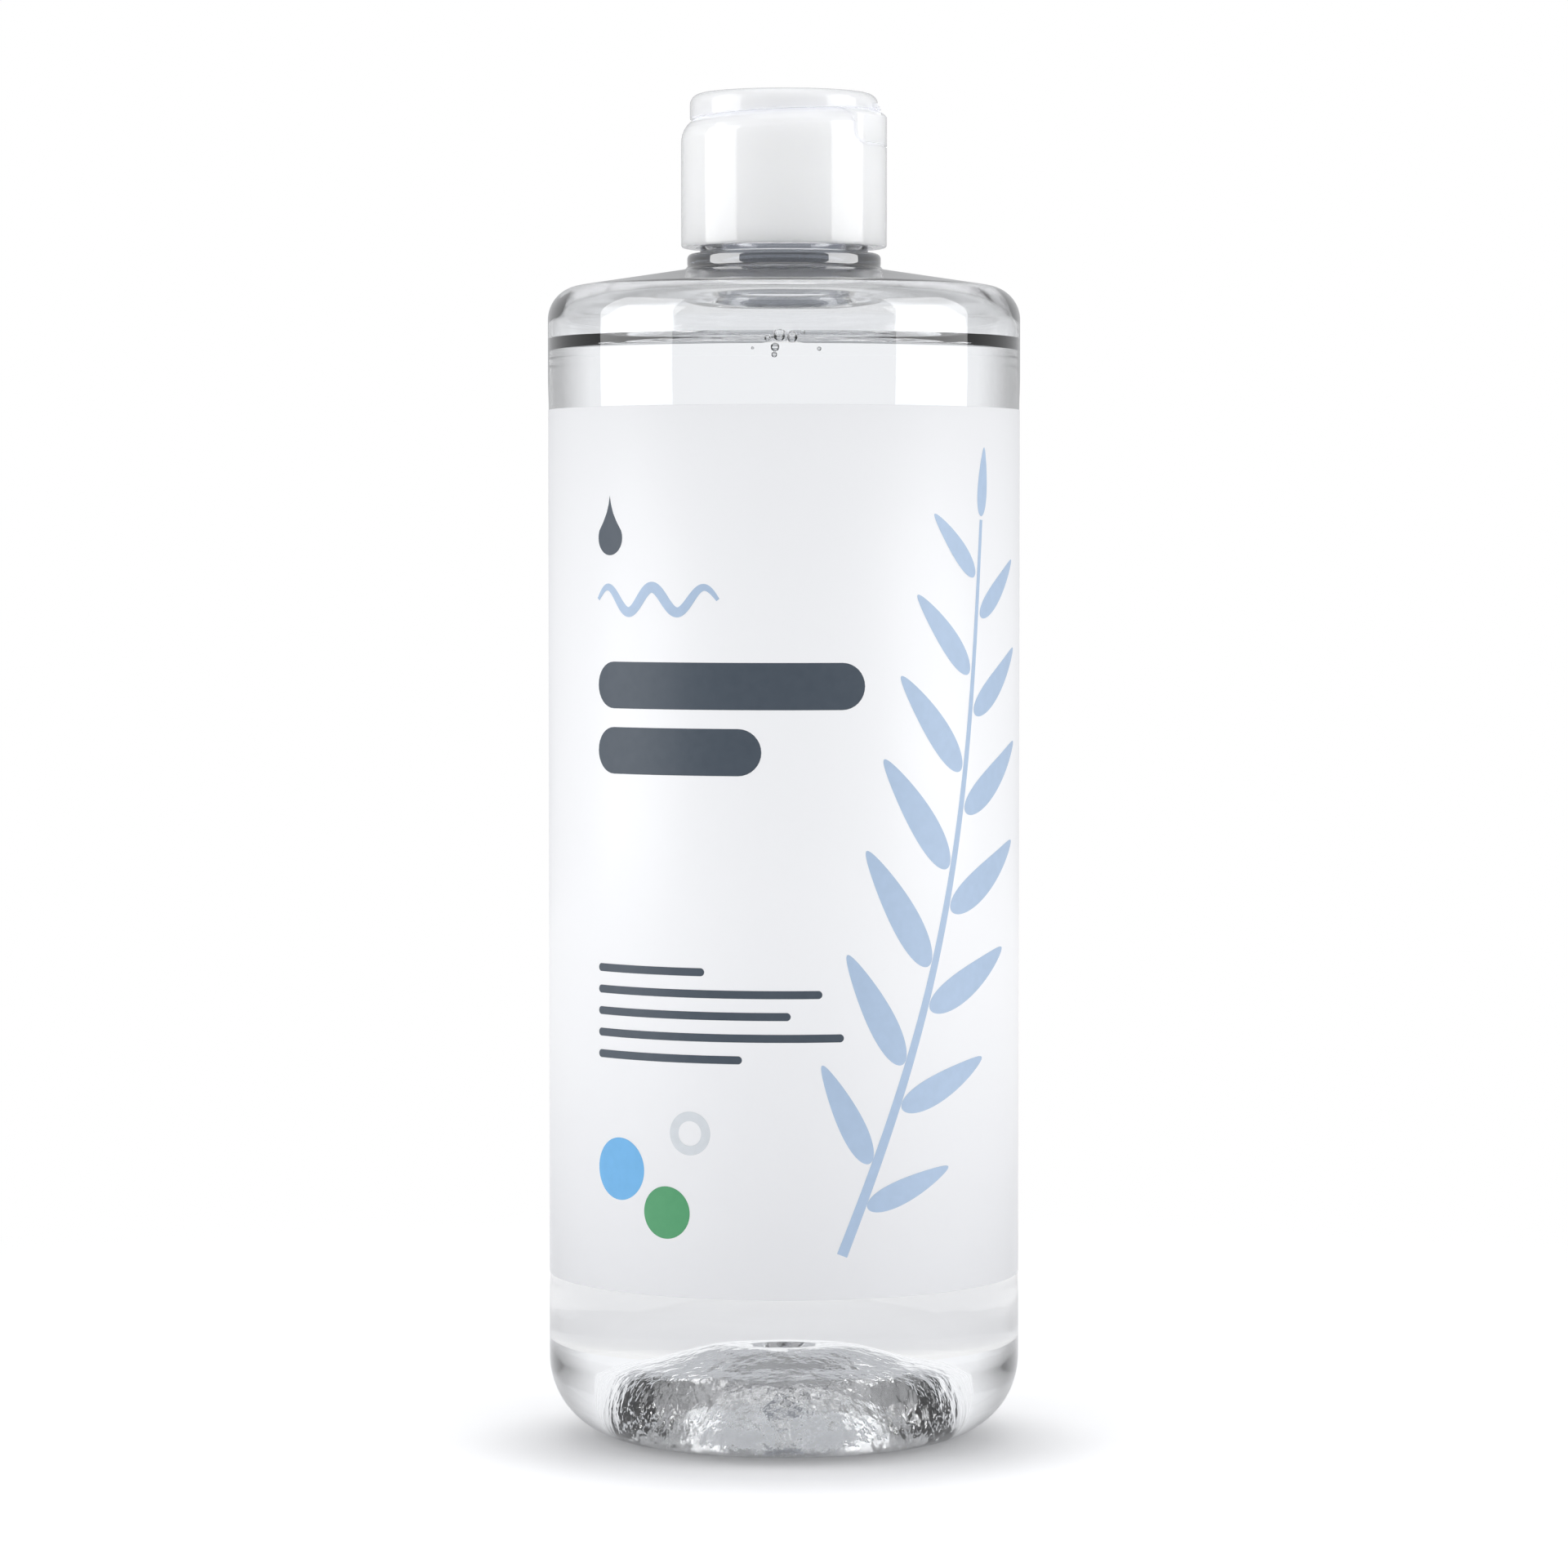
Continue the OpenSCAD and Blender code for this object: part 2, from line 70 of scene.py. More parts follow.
# Sizes of the scene's own detail, in millimetres
PUSH_R = 21.7  # the pushed-up base, which is a little broader and lower than in CAD
PUSH_H = 13.6
GATE_R = 2.8  # the gate's mark in the middle of the base
GATE_H = 0.7
WALL_STEP = 0.1  # how far the wall steps in under the label
STEP_L = 4.5  # height over which it steps in
LABEL_IN = BOTTLE_R - WALL_STEP
LABEL_R = LABEL_IN + 0.07  # the label's outer face
INK_LIFT = 0.012  # how far the ink stands off the label
GAP = 3.0  # between the label's ends, at the back
GEL_R = BOTTLE_R - WALL
GEL_Z = FILL_Z - 1.8  # the flat part of the gel's surface
GEL_FLAT_R = 27.5
MENISCUS = 1.7  # how far the gel climbs up the wall
INNER_SLOPE = radians(7.8)
INNER_CORNER_R = 4.4
THROAT_R = 2.2  # rounding between the inside of the shoulder and the bore
RING_FILLET = 0.7
RING_EDGE = 0.7
RIM_EDGE = 0.4
STRIP_W = 0.8  # width of the upright strips that lay the print round the label


# Outlines


def arc(cx, cz, r, a0, a1, n):
    """Points of an arc between two angles in degrees."""
    return [(cx + r * cos(radians(a0 + (a1 - a0) * i / n)), cz + r * sin(radians(a0 + (a1 - a0) * i / n)))
            for i in range(n + 1)]


def smooth_step(x):
    x = min(1.0, max(0.0, x))
    return x * x * (3 - 2 * x)


def ease(p0, p1, n):
    """Points of an S curve up from one (radius, height) point to another, with both ends upright."""
    (r0, z0), (r1, z1) = p0, p1
    return [(r0 + (r1 - r0) * smooth_step(i / n), z0 + (z1 - z0) * i / n) for i in range(n + 1)]


def shoulder_at(r, inset):
    """Height of the shoulder's cone at a radius, for a surface drawn in by some thickness."""
    return BODY_H - inset / cos(SLOPE) + (BOTTLE_R - r) * tan(SLOPE)


def shoulder_corner(n):
    r = CORNER_R
    turn = pi / 2 - SLOPE
    return arc(BOTTLE_R - r, shoulder_at(BOTTLE_R, 0) - r * tan(turn / 2), r, 0, degrees(turn), n)


def heel(n):
    return arc(FOOT_R, HEEL_R, HEEL_R, -90, 0, n)


# Knots of the pushed-up base, from its middle out to the foot: a steep broad dome with a low crown
DOME = ((-4.0, 13.8), (0, 13.5), (4.0, 13.8), (7.2, 13.7), (10.4, 12.6), (13.2, 11.4), (16.7, 10.2),
        (19.4, 8.3), (20.9, 6.2), (21.45, 4.3), (21.65, 2.2), (21.7, 0), (21.65, -2.2))


def curve(knots, n):
    """A smooth curve through all knots but the first and the last, which only steer its ends."""
    points = []
    for a, b, c, d in zip(knots, knots[1:], knots[2:], knots[3:]):
        for i in range(n):
            t = i / n
            points.append(tuple(0.5 * (2 * q + (r - p) * t + (2 * p - 5 * q + 4 * r - s) * t * t
                                       + (3 * q - p - 3 * r + s) * t ** 3) for p, q, r, s in zip(a, b, c, d)))
    return points + [knots[-2]]


# Meshes


def new_piece(name, verts, faces, body, replaces, mats, mat_of=None):
    """A mesh piece from points in millimetres, riding on a body."""
    mesh = bpy.data.meshes.new(name)
    mesh.from_pydata([Vector(v) * MM for v in verts], [], faces)
    mesh.update()
    for m in mats:
        mesh.materials.append(m)
    if mat_of:
        for p in mesh.polygons:
            p.material_index = mat_of(p.index)
    for p in mesh.polygons:
        p.use_smooth = True
    obj = bpy.data.objects.new(name, mesh)
    bpy.context.scene.collection.objects.link(obj)
    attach(obj, body)
    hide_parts(*replaces)
    return obj


def revolve(points, n=ROUND):
    """An outline of (radius, height) points turned round Z. Points on the axis make fans.

    Returns the vertices, the faces, and for each face the place in the outline where it starts.
    """
    verts, faces, rows = [], [], []
    for r, z in points:
        if r < 1e-6:
            rows.append([len(verts)])
            verts.append((0.0, 0.0, z))
            continue
        row = []
        for k in range(n):
            a = 2 * pi * k / n
            row.append(len(verts))
            verts.append((r * cos(a), r * sin(a), z))
        rows.append(row)
    spans = []
    for i in range(len(rows) - 1):
        a, b = rows[i], rows[i + 1]
        for k in range(n):
            j = (k + 1) % n
            if len(a) == 1 and len(b) == 1:
                continue
            if len(a) == 1:
                faces.append((a[0], b[j], b[k]))
            elif len(b) == 1:
                faces.append((a[k], a[j], b[0]))
            else:
                faces.append((a[k], a[j], b[j], b[k]))
            spans.append(i)
    return verts, faces, spans


# Materials


def material(name):
    mat = bpy.data.materials.new(name)
    mat.use_nodes = True
    nodes = mat.node_tree.nodes
    return mat, nodes, mat.node_tree.links, nodes["Principled BSDF"]


def map_range(nodes, links, value, x0, x1, y0, y1, smooth=False):
    """The value from x0 to x1 made into one from y0 to y1, in a straight line or an S curve."""
    n = nodes.new("ShaderNodeMapRange")
    n.interpolation_type = "SMOOTHSTEP" if smooth else "LINEAR"
    for key, number in zip(("From Min", "From Max", "To Min", "To Max"), (x0, x1, y0, y1)):
        n.inputs[key].default_value = number
    links.new(value, n.inputs["Value"])
    return n.outputs["Result"]


def mix_shaders(nodes, links, factor, a, b):
    n = nodes.new("ShaderNodeMixShader")
    links.new(factor, n.inputs["Fac"])
    links.new(a, n.inputs[1])
    links.new(b, n.inputs[2])
    return n.outputs[0]


def add_glow(nodes, links, strength, color=(1, 1, 1, 1), shader=None):
    """Light given off by a surface, alone or added to what a shader gives."""
    n = nodes.new("ShaderNodeEmission")
    n.inputs["Color"].default_value = color
    links.new(strength, n.inputs["Strength"])
    if shader is None:
        return n.outputs[0]
    both = nodes.new("ShaderNodeAddShader")
    links.new(shader.outputs[0], both.inputs[0])
    links.new(n.outputs[0], both.inputs[1])
    return both.outputs[0]


def object_noise(nodes, links, scale, detail, stretch=(1, 1, 1)):
    coord = nodes.new("ShaderNodeTexCoord")
    mapping = nodes.new("ShaderNodeMapping")
    mapping.inputs["Scale"].default_value = stretch
    links.new(coord.outputs["Object"], mapping.inputs["Vector"])
    tex = nodes.new("ShaderNodeTexNoise")
    tex.inputs["Scale"].default_value = scale
    tex.inputs["Detail"].default_value = detail
    links.new(mapping.outputs["Vector"], tex.inputs["Vector"])
    return tex


def add_bump(nodes, links, height, shader, strength, distance):
    bump = nodes.new("ShaderNodeBump")
    bump.inputs["Strength"].default_value = strength
    bump.inputs["Distance"].default_value = distance
    links.new(height, bump.inputs["Height"])
    links.new(bump.outputs["Normal"], shader.inputs["Normal"])


def clear_plastic(name, ior, scale, strength, distance, detail=2.0, stretch=(1, 1, 1),
                  color=(0.985, 0.99, 0.995, 1), coat=None):
    """Clear plastic whose surface is slightly wavy, as a blown wall is.

    A coat is given as its index and its roughness.
    """
    mat, nodes, links, shader = material(name)
    shader.inputs["Base Color"].default_value = color
    shader.inputs["Transmission Weight"].default_value = 1
    shader.inputs["Roughness"].default_value = 0.0
    shader.inputs["IOR"].default_value = ior
    if coat:
        shader.inputs["Coat Weight"].default_value = 1
        shader.inputs["Coat IOR"].default_value, shader.inputs["Coat Roughness"].default_value = coat
    tex = object_noise(nodes, links, scale, detail, stretch)
    add_bump(nodes, links, tex.outputs["Fac"], shader, strength, distance)
    return mat


def white_gloss(name, color, rough, bump_scale, bump_depth):
    """White moulded plastic: a faint orange peel, and gloss that varies a little."""
    mat, nodes, links, shader = material(name)
    wide = object_noise(nodes, links, 60, 2)
    uneven = map_range(nodes, links, wide.outputs["Fac"], 0, 1, rough * 0.8, rough * 1.3)
    links.new(uneven, shader.inputs["Roughness"])
    tint = nodes.new("ShaderNodeMix")
    tint.data_type = "RGBA"
    tint.inputs["A"].default_value = color
    tint.inputs["B"].default_value = tuple(c * 0.985 for c in color[:3]) + (1,)
    links.new(wide.outputs["Fac"], tint.inputs["Factor"])
    links.new(tint.outputs["Result"], shader.inputs["Base Color"])
    fine = object_noise(nodes, links, bump_scale, 3)
    add_bump(nodes, links, fine.outputs["Fac"], shader, 0.25, bump_depth)
    return mat, nodes, links, shader


PET_IOR, GEL_IOR = 1.575, 1.37
WALL_COAT = (1.55, 0.02)
PET = clear_plastic("clear_pet", PET_IOR, 45, 0.35, 0.0006, coat=WALL_COAT)
PET_GEL = clear_plastic("clear_pet_on_gel", GEL_IOR, 45, 0.35, 0.0006, coat=WALL_COAT)
PET_BASE = clear_plastic("clear_pet_base", GEL_IOR, 480, 0.7, 0.0005, 3, (1, 1, 0.9))
# Painted shade: the gate's mark is tinted dark grey for the shade it shows in the base
PET_GATE_PAINTED_SHADE = clear_plastic("clear_pet_gate_painted_shade", GEL_IOR, 480, 0.2, 0.0004, color=(0.16, 0.17, 0.2, 1))
# Painted shade: the ring's clear plastic is tinted near black for the dark it shows through its curved face
PET_RING_PAINTED_SHADE = clear_plastic("clear_pet_ring_painted_shade", PET_IOR, 45, 0.2, 0.0004, color=(0.035, 0.042, 0.056, 1),
                         coat=(2.7, 0.04))
# Painted shade: the bead's clear plastic is tinted grey for the shadow under the cap
PET_BEAD_PAINTED_SHADE = clear_plastic("clear_pet_bead_painted_shade", PET_IOR, 45, 0.2, 0.0004, color=(0.84, 0.84, 0.87, 1))
GEL_TOP = clear_plastic("gel_surface", GEL_IOR, 30, 0.1, 0.0004)

# The cap's white lets light in. It glows faintly all over with painted light, and more where its parts nearly
# touch, in place of the light between them.
CAP_WHITE, nodes, links, shader = white_gloss("cap_white", (0.895, 0.905, 0.955, 1), 0.09, 900, 0.00004)
shader.inputs["IOR"].default_value = 1.5
shader.inputs["Coat Weight"].default_value = 0.9
shader.inputs["Coat Roughness"].default_value = 0.04
shader.inputs["Subsurface Weight"].default_value = 1
shader.inputs["Subsurface Scale"].default_value = 0.004
shader.inputs["Subsurface Radius"].default_value = (1.0, 1.0, 1.05)
painted_glow_ao = nodes.new("ShaderNodeAmbientOcclusion")
painted_glow_ao.samples = 8
painted_glow_ao.inputs["Distance"].default_value = 0.0015
links.new(map_range(nodes, links, painted_glow_ao.outputs["AO"], 0, 1, 0.2, 0.06), shader.inputs["Emission Strength"])
shader.inputs["Emission Color"].default_value = (0.95, 0.96, 1, 1)
bevel = nodes.new("ShaderNodeBevel")
bevel.samples = 8
bevel.inputs["Radius"].default_value = 0.0005
links.new(bevel.outputs["Normal"], nodes["Bump"].inputs["Normal"])
SEAL_WHITE = white_gloss("seal_white", (0.85, 0.85, 0.82, 1), 0.6, 1500, 0.0001)[0]
LABEL_WHITE = white_gloss("label_film", (0.845, 0.85, 0.865, 1), 0.33, 1300, 0.00005)[0]
# The label's back glows with painted light, in place of the light that comes through the film
LABEL_BACK_GLOW, nodes, links, shader = white_gloss("label_back_painted_glow", (0.8, 0.81, 0.83, 1), 0.4, 1300, 0.00005)
shader.inputs["Emission Color"].default_value = (0.95, 0.97, 1, 1)
shader.inputs["Emission Strength"].default_value = 0.27


def ink(name, color):
    """Printed ink on the label: matt, with a faint grain in its coverage."""
    mat, nodes, links, shader = material(name)
    shader.inputs["Roughness"].default_value = 0.42
    grain = object_noise(nodes, links, 700, 4)
    mix = nodes.new("ShaderNodeMix")
    mix.data_type = "RGBA"
    mix.inputs["A"].default_value = color + (1,)
    mix.inputs["B"].default_value = tuple(min(1, c * 1.12 + 0.012) for c in color) + (1,)
    links.new(grain.outputs["Fac"], mix.inputs["Factor"])
    links.new(mix.outputs["Result"], shader.inputs["Base Color"])
    add_bump(nodes, links, grain.outputs["Fac"], shader, 0.1, 0.00004)
    return mat


# The bottle and the gel


def bottle_outside():
    points = [(0, PUSH_H - GATE_H), (GATE_R * 0.6, PUSH_H - GATE_H - 0.1), (GATE_R, PUSH_H - GATE_H)]
    points += [p for p in curve(DOME, 6) if p[0] > GATE_R + 0.02]
    points += heel(40)
    points += ease((BOTTLE_R, LABEL_Z - STEP_L), (LABEL_IN, LABEL_Z), 8)
    points += ease((LABEL_IN, LABEL_TOP), (BOTTLE_R, LABEL_TOP + STEP_L), 8)
    points.append((BOTTLE_R, GEL_Z + MENISCUS))
    points += shoulder_corner(24)
    foot_z = shoulder_at(RING_R + RING_FILLET, 0)
    points += [(RING_R + RING_FILLET, foot_z), (RING_R + 0.25, foot_z + 0.2), (RING_R - 0.05, foot_z + 0.55),
               (RING_R, foot_z + 0.9)]
    points += arc(RING_R - RING_EDGE, FINISH_Z - RING_EDGE, RING_EDGE, 0, 90, 8)
    points += [(BEAD_R + 0.25, FINISH_Z), (BEAD_R + 0.07, FINISH_Z + 0.07), (BEAD_R, FINISH_Z + 0.25)]
    points += [(BEAD_R, FINISH_Z + BEAD_H), (NECK_R, FINISH_Z + BEAD_H + BEAD_R - NECK_R)]
    points += arc(NECK_R - RIM_EDGE, RIM_Z - RIM_EDGE, RIM_EDGE, 0, 90, 4)
    return points


INNER_TOP = shoulder_at(GEL_R, WALL) - 0.25  # where the slopes of wall and shoulder would meet


def bottle_inside():
    """From the mouth down to the gel. Below, the outside is the only surface, for plastic and gel together."""
    up = [(GEL_R, GEL_Z + MENISCUS)]
    up += inner_shoulder(24)
    up += throat()
    up += [(MOUTH_R, RIM_Z)]
    return up[::-1]


def inner_shoulder(n):
    """The inside of the shoulder's corner, rounder than its outside, so that the plastic is thicker there."""
    r = INNER_CORNER_R
    turn = pi / 2 - INNER_SLOPE
    return arc(GEL_R - r, INNER_TOP - r * tan(turn / 2), r, 0, degrees(turn), n)


def throat():
    """The rounding between the inside of the shoulder and the neck's bore."""
    r = THROAT_R
    turn = pi / 2 - INNER_SLOPE
    top = INNER_TOP + (GEL_R - MOUTH_R) * tan(INNER_SLOPE) + r * tan(turn / 2)
    start = 270 - degrees(INNER_SLOPE)
    return arc(MOUTH_R + r, top, r, start, start - degrees(turn), 10)


BOTTLE_MATS = (PET, PET_GEL, PET_BASE, PET_RING_PAINTED_SHADE, PET_GATE_PAINTED_SHADE, PET_BEAD_PAINTED_SHADE)
GATE_BANDS = 3  # the outline's first spans, across the gate's mark
NEAR = 0.01


def make_bottle():
    outside = bottle_outside()
    points = outside + bottle_inside()
    verts, faces, spans = revolve(points)

    def mat_at(i):
        (r0, z0), (r1, z1) = points[i:i + 2]
        r, low, top = max(r0, r1), min(z0, z1), max(z0, z1)
        if i >= len(outside) - 1:
            return PET
        if r <= PUSH_R + NEAR and top < LABEL_Z:
            return PET_GATE_PAINTED_SHADE if i < GATE_BANDS else PET_BASE
        if top <= GEL_Z + MENISCUS + NEAR:
            return PET_GEL
        if low >= FINISH_Z - NEAR and r < RING_R - RING_EDGE + NEAR:
            return PET_BEAD_PAINTED_SHADE if low < FINISH_Z + 1.5 else PET
        return PET_RING_PAINTED_SHADE if RING_Z + 0.3 < top < FINISH_Z + 0.1 else PET

    slots = [BOTTLE_MATS.index(mat_at(i)) for i in range(len(points) - 1)]
    new_piece("clear_bottle", verts, faces, "bottle", ("bottle",),
              mats=BOTTLE_MATS, mat_of=lambda face: slots[spans[face]])


# Air bubbles in the gel behind the front of the wall: place across, height and radius
BUBBLES = ((-0.6, 154.2, 0.85), (1.1, 153.9, 0.7), (-1.2, 152.6, 0.6), (-1.3, 151.6, 0.4), (4.7, 152.4, 0.3),
           (-2.2, 153.8, 0.4), (2.5, 154.6, 0.35), (-4.2, 152.5, 0.2))


def bubble(x, z, r, first, rings=12, n=20):
    """A ball whose faces look inwards, to the air."""
    y = -sqrt((GEL_R - r - 0.2) ** 2 - x ** 2)
    outline = arc(0, 0, r, -90, 90, rings)
    outline[0], outline[-1] = (0, -r), (0, r)
    verts, faces = revolve(outline, n)[:2]
    return ([(vx + x, vy + y, vz + z) for vx, vy, vz in verts],
            [tuple(first + i for i in reversed(f)) for f in faces])


def make_gel():
    """The gel's surface with its meniscus, and a few air bubbles under it at the front."""
    n = 16
    points = [(r, GEL_Z) for r in (0, 8, 16, 24, GEL_FLAT_R)]
    points += [(GEL_FLAT_R + (GEL_R - GEL_FLAT_R) * i / n, GEL_Z + MENISCUS * (i / n) ** 5)
               for i in range(1, n + 1)]
    verts, faces = revolve(points)[:2]
    faces = [tuple(reversed(f)) for f in faces]
    for place in BUBBLES:
        more_verts, more_faces = bubble(*place, len(verts))
        verts += more_verts
        faces += more_faces
    return verts, faces


make_bottle()
verts, faces = make_gel()
new_piece("gel_surface", verts, faces, "bottle", ("shower_gel",), mats=(GEL_TOP,))


# The label and its print


def round_angle(along):
    """Angle round Z of a place along the label, counted from the middle of its front at -Y."""
    return -pi / 2 + along / LABEL_R


def make_label():
    inner, outer = LABEL_IN + 0.01, LABEL_R
    half = pi - GAP / 2 / LABEL_R
    n = 240
    profile = [(inner, LABEL_Z), (outer, LABEL_Z + 0.03), (outer, LABEL_TOP - 0.03), (inner, LABEL_TOP)]
    verts, faces = [], []
    for i in range(n + 1):
        a = -pi / 2 - half + 2 * half * i / n
        for r, z in profile:
            verts.append((r * cos(a), r * sin(a), z))
    for i in range(n):
        for k in range(4):
            a, b = 4 * i + k, 4 * i + (k + 1) % 4
            faces.append((a, a + 4, b + 4, b))
    faces += [(0, 1, 2, 3), (4 * n + 3, 4 * n + 2, 4 * n + 1, 4 * n)]
    return new_piece("wrap_label", verts, faces, "bottle", ("label",),
                     mats=(LABEL_WHITE, LABEL_BACK_GLOW),
                     mat_of=lambda face: 1 if face < 4 * n and face % 4 == 3 else 0)


label = make_label()
for p in label.data.polygons:
    p.use_smooth = abs(p.normal.z) < 0.3

PRINT_LEFT = -LABEL_R * radians(50)


def bar(left, right, z, h):
    r = h / 2
    return arc(right - r, z + r, r, -90, 90, 16) + arc(left + r, z + r, r, 90, 270, 16)


def disc(x, z, r, n=64):
    return [(x + r * cos(2 * pi * i / n), z + r * sin(2 * pi * i / n)) for i in range(n)]


def drop(x, z, r):
    points = arc(x, z, r, -205, 25, 32)
    tip = (x, z + 2.4 * r)
    (x0, z0), (x1, z1) = points[-1], tip
    right = [(x0 + (x1 - x0) * t - 0.18 * r * sin(pi * t), z0 + (z1 - z0) * t) for t in (0.25, 0.5, 0.75)]
    left = [(2 * x - px, pz) for px, pz in reversed(right)]
    return points + right + [tip] + left


def leaf(root, length, width, a, n=28):
    points = []
    for i in range(2 * n):
        t = pi * i / n
        along = length * (1 - cos(t)) / 2
        out = width / 2 * sin(t) * (0.72 + 0.28 * cos(t))
        points.append((root[0] + along * cos(a) - out * sin(a), root[1] + along * sin(a) + out * cos(a)))
    return points


def wave(left, right, z, rise, w, bends, n=120):
    low, high = [], []
    for i in range(n + 1):
        t = i / n
        x = left + (right - left) * t
        mid = z + rise * sin(2 * pi * bends * t)
        slope = atan2(rise * 2 * pi * bends * cos(2 * pi * bends * t), right - left)
        half = w / 2 * sqrt(sin(radians(7 + 166 * t)))
        low.append((x + half * sin(slope), mid - half * cos(slope)))
        high.append((x - half * sin(slope), mid + half * cos(slope)))
    return list(zip(low, high))


STEM_Z, STEM_L, STEM_TOP = LABEL_Z + 6, LABEL_H - 14, 0.93
STEM_LEFT, STEM_LEAN, STEM_SWAY = 0.24 * LABEL_R, 0.785 * LABEL_R, 0.15 * LABEL_R
STEM_W = 1.5
LEAF_L, LEAF_W, LEAF_TURN, LEAF_PITCH = 19, 6, radians(48), 13.5


def stem_at(t):
    return (STEM_LEFT + STEM_LEAN * t + STEM_SWAY * sin(radians(200 * t)), STEM_Z + STEM_L * t)


def stem_slope(t):
    a, b = stem_at(t - 0.01), stem_at(t + 0.01)
    return atan2(b[1] - a[1], b[0] - a[0])


def leaf_size(t):
    return 1 - 0.45 * abs(2 * t - 0.8) ** 1.5


def sprig():
    shapes = []
    low, high = [], []
    steps = 80
    for i in range(steps + 1):
        t = STEM_TOP * i / steps
        (x, z), a, w = stem_at(t), stem_slope(t), STEM_W / 2 * (1 - 0.55 * i / steps)
        low.append((x + w * sin(a), z - w * cos(a)))
        high.append((x - w * sin(a), z + w * cos(a)))
    shapes.append(list(zip(low, high)))
    pairs = floor(STEM_L * STEM_TOP / LEAF_PITCH)
    for i in range(pairs):
        for way in (-1, 1):
            t = (i + 0.65 + 0.2 * way) / (pairs + 0.5) * STEM_TOP
            turn = stem_slope(t) + way * LEAF_TURN
            x, z = stem_at(t)
            root = (x + (STEM_W / 2 + 0.5) * cos(turn), z + (STEM_W / 2 + 0.5) * sin(turn))
            shapes.append(leaf(root, LEAF_L * leaf_size(t), LEAF_W * leaf_size(t), turn))
    x, z = stem_at(STEM_TOP)
    shapes.append(leaf((x, z + 0.5), LEAF_L / 2, LEAF_W / 2, stem_slope(STEM_TOP)))
    return shapes


HEADLINE_Z, HEADLINE_H = LABEL_Z + 0.66 * LABEL_H, 6.4
LINES_Z, LINE_H = LABEL_Z + 0.24 * LABEL_H, 1.1
BLUE_R, GREEN_R, GREY_R, GREY_HOLE_R = 4.3, 3.6, 3.0, 1.7
BLUE_X, BLUE_Z = PRINT_LEFT + BLUE_R, LABEL_Z + 0.14 * LABEL_H
GREEN_X, GREEN_Z = BLUE_X + BLUE_R + GREEN_R, BLUE_Z - 5.5
GREY_X, GREY_Z = GREEN_X + GREEN_R, BLUE_Z + 5.5
DROP_R = 2.4
WAVE_Z = HEADLINE_Z + HEADLINE_H + 8.5

pale_shapes = sprig() + [wave(PRINT_LEFT, PRINT_LEFT + 0.6 * LABEL_R, WAVE_Z, 1.7, 1.5, 2.5)]
slate_shapes = [bar(PRINT_LEFT, PRINT_LEFT + k * LABEL_R, HEADLINE_Z - i * 1.4 * HEADLINE_H, HEADLINE_H)
                for i, k in enumerate((1.21, 0.78))]
slate_shapes += [bar(PRINT_LEFT, PRINT_LEFT + k * LABEL_R, LINES_Z + 2.7 * LINE_H * (5 - i), LINE_H)
                 for i, k in enumerate((0.54, 1.03, 0.9, 1.12, 0.7))]
slate_shapes.append(drop(PRINT_LEFT + DROP_R, LABEL_TOP - 18, DROP_R))


def make_print(name, shapes, node_name, mat, hole=None):
    """Flat outlines cut into narrow upright strips and laid round the label."""
    bm = bmesh.new()
    for shape in shapes:
        if isinstance(shape[0][0], tuple):
            rungs = [[bm.verts.new((x, 0, z)) for x, z in rung] for rung in shape]
            for a, b in zip(rungs, rungs[1:]):
                bm.faces.new((a[0], b[0], b[1], a[1]))
        else:
            bm.faces.new([bm.verts.new((x, 0, z)) for x, z in shape])
    if hole:
        bmesh.ops.delete(bm, geom=list(bm.faces), context="FACES_ONLY")
        inner = [bm.verts.new((x, 0, z)) for x, z in hole]
        outer = [v for v in bm.verts if v not in set(inner)]
        for i in range(len(inner)):
            j = (i + 1) % len(inner)
            bm.faces.new((outer[i], outer[j], inner[j], inner[i]))
        for e in [e for e in bm.edges if not e.link_faces]:
            bm.edges.remove(e)
    bmesh.ops.triangulate(bm, faces=bm.faces[:])
    xs = [v.co.x for v in bm.verts]
    x = floor(min(xs))
    while x < max(xs):
        bmesh.ops.bisect_plane(bm, geom=bm.verts[:] + bm.edges[:] + bm.faces[:],
                               plane_co=(x, 0, 0), plane_no=(1, 0, 0))
        x += STRIP_W
    bm.normal_update()
    for f in bm.faces:
        if f.normal.y > 0:
            f.normal_flip()
    r = LABEL_R + INK_LIFT
    for v in bm.verts:
        a = round_angle(v.co.x)
        v.co = Vector((r * cos(a), r * sin(a), v.co.z)) * MM
    mesh = bpy.data.meshes.new(name)
    bm.to_mesh(mesh)
    bm.free()
    mesh.materials.append(mat)
    for p in mesh.polygons:
        p.use_smooth = True
    obj = bpy.data.objects.new(name, mesh)
    bpy.context.scene.collection.objects.link(obj)
    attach(obj, "bottle")
    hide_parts(node_name)


make_print("ink_sprig", pale_shapes, "print_pale_blue",
           ink("ink_pale_blue", (0.355, 0.46, 0.61)))
make_print("ink_lines", slate_shapes, "print_slate", ink("ink_slate", (0.045, 0.062, 0.085)))
make_print("ink_blue_bubble", [disc(BLUE_X, BLUE_Z, BLUE_R)], "print_blue",
           ink("ink_blue", (0.12, 0.37, 0.66)))
make_print("ink_green_bubble", [disc(GREEN_X, GREEN_Z, GREEN_R)], "print_green",
           ink("ink_green", (0.06, 0.28, 0.12)))
make_print("ink_grey_ring", [disc(GREY_X, GREY_Z, GREY_R)], "print_grey",
           ink("ink_grey", (0.56, 0.59, 0.62)), hole=disc(GREY_X, GREY_Z, GREY_HOLE_R))


# The cap and the seal keep the CAD's own shapes

for name, mat in (("cap_body", CAP_WHITE), ("flip_lid", CAP_WHITE), ("seal_ring", SEAL_WHITE)):
    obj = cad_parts[name]
    obj.data.materials.clear()
    obj.data.materials.append(mat)


# The studio

